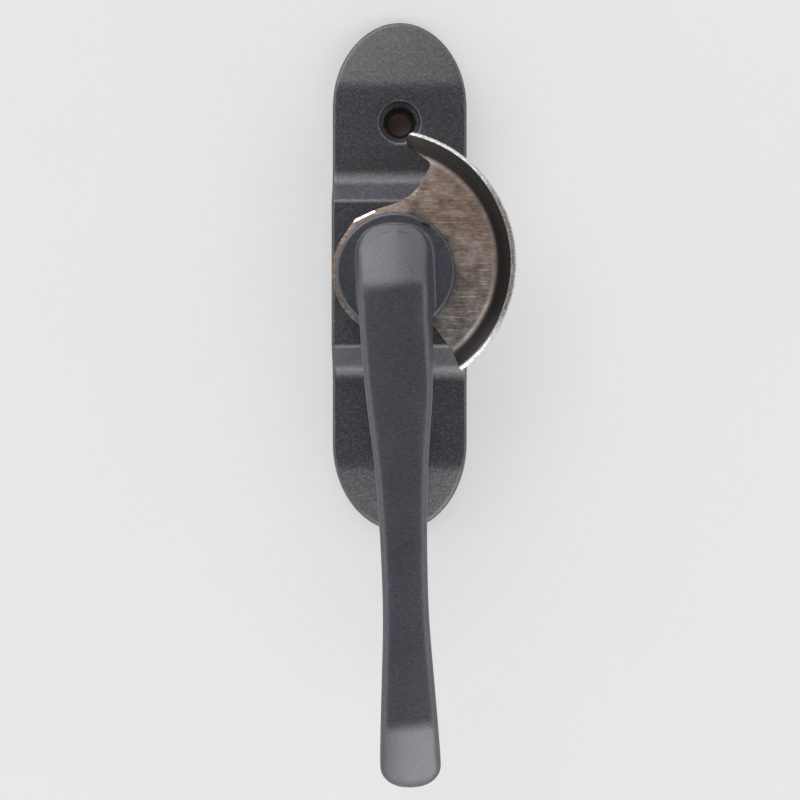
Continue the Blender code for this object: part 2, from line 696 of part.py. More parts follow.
def make_leaf_spring(name, side, spring_steel):
    """A strip bowed towards the cam, with its ends hooked behind the ribs."""
    count = 16
    centre = LEAF_X + LEAF_SHEET / 2
    ends = LEAF_HALF_LENGTH + LEAF_SHEET / 2
    line = []
    for i in range(count + 1):
        y = ends * (2 * i / count - 1)
        line.append(Vector((centre + LEAF_BOW * (y / ends) ** 2, y)))
    hook = Vector((LEAF_HOOK, 0))
    line = [line[0] + hook] + line + [line[-1] + hook]
    left, right = [], []
    for i, here in enumerate(line):
        before, after = line[max(i - 1, 0)], line[min(i + 1, len(line) - 1)]
        arriving, leaving = here - before, after - here
        along = (arriving.normalized() if arriving.length else leaving.normalized()) + (
            leaving.normalized() if leaving.length else arriving.normalized()
        )
        along.normalize()
        straight = leaving.normalized() if leaving.length else arriving.normalized()
        across = Vector((-along.y, along.x)) * (LEAF_SHEET / 2 / max(0.5, along.dot(straight)))
        left.append(here + across)
        right.append(here - across)
    outline = [Vector((side * p.x, p.y)) for p in left + right[::-1]]
    return prism(name, outline, LEAF_FOOT, LEAF_FOOT + LEAF_HEIGHT, spring_steel)


# ---------------------------------------------------------------- spindle and its fixings


def make_spindle(steel):
    tang_foot = DETENT_CAM_FOOT + FACE_GAP
    tang_top = STOP_DISC_FOOT + STOP_DISC + FACE_GAP / 2
    square_foot = BUSH_FLANGE_TOP + FACE_GAP / 3
    journal_top = BUSH_FLANGE_TOP + 2 * FACE_GAP / 3
    spindle = prism("spindle", square(SQUARE_SIDE, SQUARE_CORNER), square_foot, SQUARE_TOP, steel)
    combine(spindle, rod("journal", JOURNAL_RADIUS, tang_top, journal_top), "UNION")
    tang = prism("tang", two_flats(TANG_RADIUS, TANG_FLATS), tang_foot, tang_top + FACE_GAP)
    combine(spindle, tang, "UNION")
    bore = prism("spindle_bore", circle(RETAINER_RADIUS + SEAT_GAP, count=24), 0.0, SQUARE_TOP + 1.0 * mm)
    combine(spindle, bore, "DIFFERENCE")
    return spindle


def make_retaining_screw(steel):
    """The screw that clamps the whole stack: it passes up the bored spindle into the lever's hub."""
    shoulder = RETAINER_HEAD_FOOT + RETAINER_HEAD
    tip = RETAINER_TIP
    profile = [
        (0.0, RETAINER_HEAD_FOOT),
        (RETAINER_HEAD_RADIUS - RETAINER_EDGE, RETAINER_HEAD_FOOT),
        (RETAINER_HEAD_RADIUS, RETAINER_HEAD_FOOT + RETAINER_EDGE),
        (RETAINER_HEAD_RADIUS, shoulder),
        (RETAINER_RADIUS, shoulder),
        (RETAINER_RADIUS, tip - RETAINER_EDGE),
        (RETAINER_RADIUS - RETAINER_EDGE, tip),
        (0.0, tip),
    ]
    screw = turned("retaining_screw", profile, steel, count=24)
    recess = cross_recess(
        "retainer_recess",
        RETAINER_RECESS_RADIUS,
        RETAINER_RECESS_WIDTH,
        low=0.0,
        high=RETAINER_HEAD_FOOT + RETAINER_RECESS_DEPTH,
    )
    combine(screw, recess, "DIFFERENCE")
    return screw


def make_plain_washer(steel):
    bore = RETAINER_RADIUS + SEAT_GAP
    top = PLAIN_WASHER_FOOT + PLAIN_WASHER
    return tube("plain_washer", bore, PLAIN_WASHER_RADIUS, PLAIN_WASHER_FOOT, top, steel)


def make_lock_washer(spring_steel):
    """A split ring."""
    bore = RETAINER_RADIUS + SEAT_GAP
    half = LOCK_WASHER_SPLIT / 2
    outer = math.asin(half / LOCK_WASHER_RADIUS)
    inner = math.asin(half / bore)
    outline = arc((0, 0), LOCK_WASHER_RADIUS, outer, 2 * math.pi - outer, 32)
    outline += arc((0, 0), bore, 2 * math.pi - inner, inner, 32)
    return prism("lock_washer", outline, LOCK_WASHER_FOOT, LOCK_WASHER_FOOT + LOCK_WASHER, spring_steel)


# ---------------------------------------------------------------- crescent


def crescent_outline():
    """The crescent's plan, anticlockwise from its tail: rim, tip, throat, ring and lower edge."""
    past_rim = 0.3 * mm
    rim = arc(CRESCENT_CENTRE, CRESCENT_RADIUS + past_rim, CRESCENT_TAIL, CRESCENT_TIP, 48)
    throat = arc(THROAT_CENTRE, THROAT_RADIUS, THROAT_START, THROAT_END, 14)
    nose_ends = [(rim[-1].x, rim[-1].y, 0.0), (throat[0].x, throat[0].y, 0.0)]
    nose = rounded(nose_ends[:1] + CRESCENT_NOSE + nose_ends[1:], closed=False)[1:-1]
    ring = arc((0, 0), RING_RADIUS, RING_START, RING_END, 34)
    return rim + nose + throat + RING_FACET + ring + CRESCENT_LOWER_EDGE


def crescent_section():
    """The sheet's section from near its centre to the rim: the flat, the bend and the flared wall."""
    foot, top = CRESCENT_FOOT, CRESCENT_FOOT + CRESCENT_SHEET
    bend_centre = (CRESCENT_FLAT_RADIUS, top + CRESCENT_BEND)
    down = -math.pi / 2
    inner_bend = arc(bend_centre, CRESCENT_BEND, down, down + CRESCENT_FLARE, 5)
    outer_bend = arc(bend_centre, CRESCENT_BEND + CRESCENT_SHEET, down, down + CRESCENT_FLARE, 5)
    edge = Vector((math.sin(CRESCENT_FLARE), -math.cos(CRESCENT_FLARE))) * CRESCENT_SHEET
    run = CRESCENT_RADIUS - edge.x - inner_bend[-1].x
    inner_edge = inner_bend[-1] + Vector((run, run * math.tan(CRESCENT_FLARE)))
    start = 1.0 * mm  # inside the square hole, so the turned sheet has no point on its axis
    return [(start, foot)] + outer_bend + [inner_edge + edge, inner_edge] + inner_bend[::-1] + [(start, top)]


def make_crescent(steel):
    crescent = turned("crescent_cam", crescent_section(), steel, CRESCENT_CENTRE, count=120)
    outline = prism("crescent_outline", crescent_outline(), CRESCENT_FOOT - 1.0 * mm, HUB_TOP + 10.0 * mm)
    combine(crescent, outline, "INTERSECT")
    hole = square(SQUARE_SIDE + 2 * RUN_GAP, SQUARE_CORNER)
    combine(crescent, prism("crescent_hole", hole, 0.0, HUB_TOP + 10.0 * mm), "DIFFERENCE")
    return crescent


# ---------------------------------------------------------------- lever


def lever_half_width(y):
    """y runs along the lever from the grip's end, at -LEVER_REACH, to the neck's end, at NECK_LENGTH."""
    below = -y
    width = smooth_along(LEVER_HALF_WIDTHS, below / LEVER_REACH)
    neck = max(0.0, (NECK_ROUND - NECK_LENGTH - below) / NECK_ROUND)
    grip = max(0.0, (below - LEVER_REACH + GRIP_ROUND) / GRIP_ROUND)
    neck_share = max(0.0, 1 - neck**NECK_FULLNESS) ** (1 / NECK_FULLNESS)
    grip_share = max(0.0, 1 - grip**GRIP_FULLNESS) ** (1 / GRIP_FULLNESS)
    return width * neck_share * grip_share


def lever_stations():
    neck = end_stations(NECK_LENGTH - NECK_ROUND, NECK_ROUND, 8)
    grip = [-y for y in end_stations(LEVER_REACH - GRIP_ROUND, GRIP_ROUND, 7)]
    along = [-p.x for line in (lever_ridge(), lever_underside()) for p in line[1:-1]]
    widths = [-share * LEVER_REACH for share, _ in LEVER_HALF_WIDTHS]
    spacing = 5.0 * mm
    fill = [-spacing * i for i in range(1, int((LEVER_REACH - GRIP_ROUND) / spacing) + 1)]
    ordered = sorted(neck + grip + along + widths + fill)
    kept = [ordered[0]]
    for y in ordered[1:-1]:
        if y - kept[-1] > 0.25 * mm and ordered[-1] - y > 0.02 * mm:
            kept.append(y)
    return kept + [ordered[-1]]


def lever_ridge():
    return rounded([(y, HUB_TOP + z, r) for y, z, r in LEVER_RIDGE], closed=False, step=math.radians(5))


def lever_underside():
    return rounded([(y, HUB_TOP + z, r) for y, z, r in LEVER_UNDERSIDE], closed=False, step=math.radians(15))


def make_lever(coat):
    ridge, underside = lever_ridge(), lever_underside()
    hub_profile = [
        (0.0, HUB_FOOT),
        (HUB_RADIUS, HUB_FOOT),
        (HUB_RADIUS, HUB_TOP - HUB_CHAMFER),
        (HUB_RADIUS - HUB_CHAMFER, HUB_TOP),
        (0.0, HUB_TOP),
    ]
    lever = turned("crank_handle", hub_profile, coat)
    arm = block(
        "arm",
        lever_half_width,
        lever_stations(),
        top=lambda y: height_along(ridge, -y),
        foot=lambda y: height_along(underside, -y),
        rim=edge_round(LEVER_EDGE_WIDTH, LEVER_EDGE_DROP, 4),
        foot_rim=edge_round(LEVER_FOOT_WIDTH, LEVER_FOOT_LIFT, 3),
    )
    arm.rotation_euler.z = LEVER_REST_ANGLE
    combine(lever, arm, "UNION")
    socket = square(SQUARE_SIDE + 2 * RUN_GAP, SQUARE_CORNER)
    combine(lever, prism("lever_socket", socket, 0.0, SQUARE_TOP + FACE_GAP), "DIFFERENCE")
    tapped = circle(RETAINER_RADIUS + SEAT_GAP, count=24)
    combine(lever, prism("lever_tapped_hole", tapped, 0.0, RETAINER_TIP + FACE_GAP), "DIFFERENCE")
    return lever


# ---------------------------------------------------------------- assembly


def main():
    for old in list(bpy.data.objects):
        bpy.data.objects.remove(old)
    coat = make_material("charcoal_coat", (0.045, 0.044, 0.050), 0.45, 0.0)
    zinc = make_material("zinc_plated_steel", (0.55, 0.56, 0.58), 0.35, 1.0)
    steel = make_material("turned_steel", (0.42, 0.42, 0.43), 0.35, 1.0)
    bare = make_material("bare_stamped_steel", (0.36, 0.31, 0.28), 0.40, 1.0)
    spring_steel = make_material("spring_steel", (0.30, 0.30, 0.32), 0.30, 1.0)
    nylon = make_material("natural_nylon", (0.70, 0.68, 0.62), 0.50, 0.0)

    make_base(coat)
    make_back_plate(zinc)
    make_cover_screws(zinc)
    make_bush(nylon)
    make_leaf_spring("leaf_spring_left", -1, spring_steel)
    make_leaf_spring("leaf_spring_right", 1, spring_steel)

    pivot = bpy.data.objects.new("lever_pivot", None)
    bpy.context.scene.collection.objects.link(pivot)
    turning = [
        make_lever(coat),
        make_crescent(bare),
        make_spindle(steel),
        make_thrust_washer(nylon),
        make_wave_washer(spring_steel),
        make_stop_disc(steel),
        make_detent_cam(nylon),
        make_plain_washer(zinc),
        make_lock_washer(spring_steel),
        make_retaining_screw(zinc),
    ]
    for piece in turning:
        piece.parent = pivot


main()
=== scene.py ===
"""The look of the crescent sash lock: fine castings, a brushed steel crescent and a pale studio floor.

Lengths are in metres, in the model's frame: +Z out of the sash, +Y along the base, and the spindle on the
Z axis.
"""

import math

import bmesh
import bpy
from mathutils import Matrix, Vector


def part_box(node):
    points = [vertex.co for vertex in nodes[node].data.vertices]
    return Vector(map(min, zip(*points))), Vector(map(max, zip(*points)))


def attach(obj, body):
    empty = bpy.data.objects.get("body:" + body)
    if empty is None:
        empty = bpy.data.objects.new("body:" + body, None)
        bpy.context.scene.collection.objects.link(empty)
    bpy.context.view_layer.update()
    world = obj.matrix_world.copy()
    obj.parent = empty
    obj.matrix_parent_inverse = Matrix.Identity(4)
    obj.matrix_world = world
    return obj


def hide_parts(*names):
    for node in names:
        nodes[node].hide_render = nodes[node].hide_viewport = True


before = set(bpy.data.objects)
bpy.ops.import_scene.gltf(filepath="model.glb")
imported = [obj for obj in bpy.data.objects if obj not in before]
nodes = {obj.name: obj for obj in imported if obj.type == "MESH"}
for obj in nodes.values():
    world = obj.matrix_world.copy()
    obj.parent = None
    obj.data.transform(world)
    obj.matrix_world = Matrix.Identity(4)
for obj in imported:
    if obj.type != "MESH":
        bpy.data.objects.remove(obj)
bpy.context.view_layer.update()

mm = 0.001

# Heights and places that the frame gives
BASE_LOW, BASE_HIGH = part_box("base_housing")
PLATE_LOW, PLATE_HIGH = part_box("back_plate")
CRESCENT_LOW, CRESCENT_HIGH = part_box("crescent_cam")
SPINDLE_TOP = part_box("spindle")[1].z
RETAINING_SCREW_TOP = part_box("retaining_screw")[1].z

# Base casting
CENTRELINE_X = (BASE_LOW.x + BASE_HIGH.x) / 2
BASE_HALF_WIDTH = (BASE_HIGH.x - BASE_LOW.x) / 2
BASE_HALF_LENGTH = BASE_HIGH.y
PLATEAU_HEIGHT = BASE_HIGH.z
END_ROUND = 17.4 * mm
END_HEIGHT = 1.3 * mm
FLAT_HEIGHT = 5.2 * mm
PLATEAU_HALF_LENGTH = 14.0 * mm
RAMP_RUN = 4.6 * mm
RAMP_FILLET = 4.3 * mm
PLATEAU_ROUND = 1.3 * mm
END_SLOPE_RUN = 13.0 * mm
RIM_ROUND = 0.9 * mm
SCREW_Y = 30.0 * mm
SCREW_HEAD_RADIUS = 3.85 * mm
SCREW_BORE_RADIUS = 3.05 * mm
SCREW_LIP = 0.9 * mm
BOSS_RADIUS = 5.2 * mm
RECESS_GAP = 0.3 * mm  # round the back plate and over it
BUSH_SEAT_RADIUS = 5.25 * mm
CUT_OVER = 1.0 * mm  # how far a cutter runs past what it cuts

# Crescent
SHEET = 1.3 * mm
RIM_CENTRE = Vector((-2.56, 1.69)) * mm
RIM_RADIUS = 25.4 * mm
FLAT_RADIUS = 20.4 * mm
BEND = 2.4 * mm
FLARE = math.radians(50)
RING_RADIUS = 12.1 * mm
NOSE_CENTRE = Vector((3.60, 24.85)) * mm
NOSE_RADIUS = 1.5 * mm
RING_FACET = [Vector((-4.45, 11.75)) * mm, Vector((-7.7, 10.2)) * mm]
THROAT_CENTRE = Vector((-3.7, 23.0)) * mm
THROAT_RADIUS = 10.5 * mm
CUT_EDGE_ROUND = 0.2 * mm
CRESCENT_FOOT = CRESCENT_LOW.z
CRESCENT_TOP = CRESCENT_FOOT + SHEET

# Lever
HUB_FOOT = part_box("crank_handle")[0].z
HUB_RADIUS = 11.3 * mm
HUB_TOP = HUB_FOOT + 2.8 * mm
LEVER_LEAN = math.radians(1.75)
NECK_LENGTH = 8.95 * mm
NECK_ROUND = 7.0 * mm
NECK_FULLNESS = 2.6
LEVER_REACH = 97.4 * mm
GRIP_SLOPE_RUN = 12.6 * mm
LEVER_CROWN = 0.34
LEVER_RIM_WIDTH = 2.2 * mm
LEVER_RIM_DROP = 2.3 * mm
NECK_DRAFT = 1.3 * mm  # how far the neck's right flank leans in
HUB_ROUND = 0.85 * mm
GRIP_ROUND = 4.6 * mm
GRIP_FULLNESS = 2.25
SOCKET_SIDE = 8.16 * mm  # the square hole that the spindle's head fits
SOCKET_CORNER = 0.7 * mm
TAPPED_RADIUS = 1.65 * mm
TOP_GAP = 0.3 * mm  # over the spindle and over the retaining screw


# ---------------------------------------------------------------- outlines


def arc(centre, radius, start, end, count):
    steps = [start + (end - start) * i / count for i in range(count + 1)]
    return [Vector((centre[0] + radius * math.cos(a), centre[1] + radius * math.sin(a))) for a in steps]


def circle(radius, centre=(0, 0), count=96):
    return arc(centre, radius, 0, 2 * math.pi, count)[:-1]


def rounded(corners, closed=True, step=math.radians(6)):
    """Points along straight runs between (x, y, radius) corners, each corner rounded to its radius."""
    points = []
    for i, (x, y, radius) in enumerate(corners):
        here = Vector((x, y))
        if radius <= 0 or (not closed and i in (0, len(corners) - 1)):
            points.append(here)
            continue
        back = (Vector(corners[i - 1][:2]) - here).normalized()
        on = (Vector(corners[(i + 1) % len(corners)][:2]) - here).normalized()
        half = back.angle(on) / 2
        centre = here + (back + on).normalized() * (radius / math.sin(half))
        first = here + back * (radius / math.tan(half)) - centre
        last = here + on * (radius / math.tan(half)) - centre
        sweep = first.angle_signed(last)
        start = math.atan2(first.y, first.x)
        points += arc(centre, radius, start, start - sweep, max(2, math.ceil(abs(sweep) / step)))
    return points


def square(side, corner):
    half = side / 2
    places = [(half, half), (-half, half), (-half, -half), (half, -half)]
    return rounded([(x, y, corner) for x, y in places])


def height_along(line, y):
    if y <= line[0][0]:
        return line[0][1]
    for near, far in zip(line, line[1:]):
        if y <= far[0]:
            return near[1] + (far[1] - near[1]) * (y - near[0]) / (far[0] - near[0])
    return line[-1][1]


def smooth_along(points, y):
    if y <= points[0][0]:
        return points[0][1]
    for i in range(len(points) - 1):
        (y0, v0), (y1, v1) = points[i], points[i + 1]
        if y <= y1:
            before, after = points[max(i - 1, 0)], points[min(i + 2, len(points) - 1)]
            slope0 = (v1 - before[1]) / (y1 - before[0])
            slope1 = (after[1] - v0) / (after[0] - y0)
            t, span = (y - y0) / (y1 - y0), y1 - y0
            return (
                v0 * (1 + 2 * t) * (1 - t) ** 2
                + slope0 * span * t * (1 - t) ** 2
                + v1 * t * t * (3 - 2 * t)
                + slope1 * span * t * t * (t - 1)
            )
    return points[-1][1]


def smoothstep(low, high, value):
    t = min(1.0, max(0.0, (value - low) / (high - low)))
    return t * t * (3 - 2 * t)


# ---------------------------------------------------------------- solids


def add_object(name, bm):
    bmesh.ops.recalc_face_normals(bm, faces=bm.faces)
    mesh = bpy.data.meshes.new(name)
    bm.to_mesh(mesh)
    bm.free()
    piece = bpy.data.objects.new(name, mesh)
    bpy.context.scene.collection.objects.link(piece)
    return piece


def shade(piece, angle=35):
    piece.data.shade_smooth()
    piece.data.set_sharp_from_angle(angle=math.radians(angle))


def prism(name, outline, low, high):
    bm = bmesh.new()
    floor = bm.faces.new([bm.verts.new((p[0], p[1], low)) for p in outline])
    grown = bmesh.ops.extrude_face_region(bm, geom=[floor])["geom"]
    verts = [g for g in grown if isinstance(g, bmesh.types.BMVert)]
    bmesh.ops.translate(bm, vec=(0, 0, high - low), verts=verts)
    return add_object(name, bm)


def turned(name, profile, centre=(0, 0), count=96):
    """A closed (radius, height) profile spun about a vertical axis. A radius of 0 lies on the axis."""
    bm = bmesh.new()
    verts = [bm.verts.new((centre[0] + r, centre[1], z)) for r, z in profile]
    pairs = zip([verts[-1]] + verts[:-1], verts, [profile[-1]] + profile[:-1], profile)
    edges = [bm.edges.new((a, b)) for a, b, pa, pb in pairs if pa[0] > 0 or pb[0] > 0]
    bmesh.ops.spin(
        bm,
        geom=verts + edges,
        axis=(0, 0, 1),
        cent=(centre[0], centre[1], 0),
        angle=2 * math.pi,
        steps=count,
        use_merge=True,
    )
    bmesh.ops.remove_doubles(bm, verts=bm.verts, dist=0.0005 * mm)
    return add_object(name, bm)


def settle(piece):
    """Makes the piece's evaluated mesh its own, with no modifier left."""
    bpy.context.view_layer.update()
    graph = bpy.context.evaluated_depsgraph_get()
    mesh = bpy.data.meshes.new_from_object(piece.evaluated_get(graph))
    piece.modifiers.clear()
    piece.data = mesh


def combine(piece, others, operation):
    for other in others:
        step = piece.modifiers.new(other.name, "BOOLEAN")
        step.operation = operation
        step.solver = "EXACT"
        step.object = other
        settle(piece)
        bpy.data.objects.remove(other)


def soften(piece, width, angle=30, segments=2):
    """Rounds the piece's hard edges."""
    step = piece.modifiers.new("soft_edges", "BEVEL")
    step.width = width
    step.segments = segments
    step.limit_method = "ANGLE"
    step.angle_limit = math.radians(angle)
    step.harden_normals = False
    settle(piece)


def loft(name, half_width, stations, top, foot, rim, foot_rim, centre_x=0.0, share=0.45, crown=0.0):
    """A solid about its long axis, Y. rim and foot_rim(y) give the (inset, drop) pairs of its edges.

    crown is the slope across the top face where it meets the rim: the face bulges by half of that.
    """
    right = [Vector((half_width(y), y)) for y in stations]
    loop = right + [Vector((-p.x, p.y)) for p in right[-2:0:-1]]
    total = len(loop)
    inward = []
    for i in range(total):
        along = loop[(i + 1) % total] - loop[i - 1]
        inward.append(Vector((-along.y, along.x)).normalized())
    bm = bmesh.new()

    def ring(pairs, i_pair, from_top):
        verts = []
        for p, n in zip(loop, inward):
            inset, drop = pairs(p.y)[i_pair]
            q = p + n * inset
            bulge = crown * abs((p + n * rim[-1][0]).x) / 2
            high, low = top(q.y) - bulge, foot(q.y)
            deepest = pairs(p.y)[0][1]
            fit = min(1.0, share * (high - low) / deepest) if deepest else 1.0
            z = high - drop * fit if from_top else low + drop * fit
            verts.append(bm.verts.new((centre_x + q.x, q.y, z)))
        return verts

    rings = [ring(foot_rim, i, False) for i in reversed(range(len(foot_rim(0.0))))]
    rings += [ring(lambda y: rim, i, True) for i in range(len(rim))]
    for lower, upper in zip(rings, rings[1:]):
        for i in range(total):
            j = (i + 1) % total
            bm.faces.new((lower[i], lower[j], upper[j], upper[i]))
    last = len(right) - 1
    for cap, bulge in ((rings[0], 0.0), (rings[-1], crown)):
        across = 10 if bulge else 1
        rows = []
        for i in range(last + 1):
            a, b = cap[i], cap[-i % total]
            row = [a]
            if a is not b:
                half = (a.co.x - b.co.x) / 2
                for k in range(1, across):
                    share_across = k / across
                    rise = bulge * half / 2 * (1 - (1 - 2 * share_across) ** 2)
                    row.append(bm.verts.new(a.co.lerp(b.co, share_across) + Vector((0, 0, rise))))
                row.append(b)
            rows.append(row)
        for near, far in zip(rows, rows[1:]):
            for k in range(across):
                corners = [near[min(k, len(near) - 1)], far[min(k, len(far) - 1)]]
                corners += [far[min(k + 1, len(far) - 1)], near[min(k + 1, len(near) - 1)]]
                bm.faces.new(list(dict.fromkeys(corners)))
    return add_object(name, bm)


def edge_round(width, drop, count, slope=0.0):
    """(inset, drop) pairs of a quarter ellipse, from the side wall to where it has this slope."""
    full = math.pi / 2 - math.atan(slope * width / drop)
    turns = [full * i / count for i in range(count + 1)]
    return [(width * (1 - math.cos(t)), drop * (math.sin(full) - math.sin(t))) for t in turns]


def end_stations(start, length, count):
    return [start + length * math.sin(math.pi / 2 * i / count) for i in range(1, count + 1)]


def thinned(stations, least):
    """The stations in order, without any that crowd the one before."""
    ordered = sorted(stations)
    kept = [ordered[0]]
    for y in ordered[1:-1]:
        if y - kept[-1] > least:
            kept.append(y)
    return kept + [ordered[-1]]


# ---------------------------------------------------------------- materials


def material(name):
    made = bpy.data.materials.new(name)
    made.use_nodes = True
    tree = made.node_tree
    return made, tree, tree.nodes["Principled BSDF"]


def add_node(tree, kind, **values):
    node = tree.nodes.new(kind)
    for key, value in values.items():
        if key in node.inputs:
            node.inputs[key].default_value = value
        else:
            setattr(node, key, value)
    return node


def texture(tree, kind, stretch=(1, 1, 1), **values):
    """A texture in the object's own coordinates, stretched along its axes."""
    place = tree.nodes.new("ShaderNodeTexCoord")
    mapping = tree.nodes.new("ShaderNodeMapping")
    mapping.inputs["Scale"].default_value = stretch
    tree.links.new(place.outputs["Object"], mapping.inputs["Vector"])
    node = add_node(tree, kind, **values)
    tree.links.new(mapping.outputs["Vector"], node.inputs["Vector"])
    return node


def ramp(tree, source, stops):
    node = tree.nodes.new("ShaderNodeValToRGB")
    elements = node.color_ramp.elements
    while len(elements) < len(stops):
        elements.new(0.5)
    for element, (position, colour) in zip(elements, stops):
        element.position = position
        element.color = (*colour, 1)
    tree.links.new(source, node.inputs["Fac"])
    return node.outputs["Color"]


def spread(tree, source, low, high, to_low, to_high):
    node = tree.nodes.new("ShaderNodeMapRange")
    for key, value in (("From Min", low), ("From Max", high), ("To Min", to_low), ("To Max", to_high)):
        node.inputs[key].default_value = value
    tree.links.new(source, node.inputs["Value"])
    return node.outputs["Result"]


def bump(tree, source, distance, strength, under=None):
    node = tree.nodes.new("ShaderNodeBump")
    node.inputs["Distance"].default_value = distance
    node.inputs["Strength"].default_value = strength
    tree.links.new(source, node.inputs["Height"])
    if under:
        tree.links.new(under, node.inputs["Normal"])
    return node.outputs["Normal"]


def powder_coat(name, tones, peel, depth):
    """Charcoal powder coat: an orange peel with slightly lighter grains. tones run from dark to light."""
    made, tree, shader = material(name)
    fine = texture(tree, "ShaderNodeTexNoise", Scale=peel, Detail=3.0, Roughness=0.65)
    broad = texture(tree, "ShaderNodeTexNoise", Scale=120.0, Detail=3.0)
    colour = ramp(tree, fine.outputs["Fac"], list(zip((0.36, 0.50, 0.66), tones)))
    tree.links.new(colour, shader.inputs["Base Color"])
    rough = spread(tree, broad.outputs["Fac"], 0.3, 0.7, 0.34, 0.42)
    tree.links.new(rough, shader.inputs["Roughness"])
    shader.inputs["IOR"].default_value = 1.55
    tree.links.new(bump(tree, fine.outputs["Fac"], depth, 0.8), shader.inputs["Normal"])
    return made


def radial(tree, centre):
    """The distance from an upright axis through centre, in the object's own coordinates."""
    place = tree.nodes.new("ShaderNodeTexCoord")
    flat = tree.nodes.new("ShaderNodeVectorMath")
    flat.operation = "MULTIPLY"
    flat.inputs[1].default_value = (1, 1, 0)
    far = tree.nodes.new("ShaderNodeVectorMath")
    far.operation = "DISTANCE"
    far.inputs[1].default_value = (centre[0], centre[1], 0)
    tree.links.new(place.outputs["Object"], flat.inputs[0])
    tree.links.new(flat.outputs["Vector"], far.inputs[0])
    return far.outputs["Value"]


def mixed(tree, factor, a, b, blend="MIX"):
    """A colour mix. factor, a and b are each a socket or a value."""
    node = tree.nodes.new("ShaderNodeMix")
    node.data_type = "RGBA"
    node.blend_type = blend
    for socket, value in ((node.inputs[0], factor), (node.inputs[6], a), (node.inputs[7], b)):
        if isinstance(value, bpy.types.NodeSocket):
            tree.links.new(value, socket)
        elif isinstance(value, tuple):
            socket.default_value = (*value, 1)
        else:
            socket.default_value = value
    return node.outputs[2]


def larger(tree, a, b):
    node = add_node(tree, "ShaderNodeMath", operation="MAXIMUM")
    tree.links.new(a, node.inputs[0])
    tree.links.new(b, node.inputs[1])
    return node.outputs["Value"]


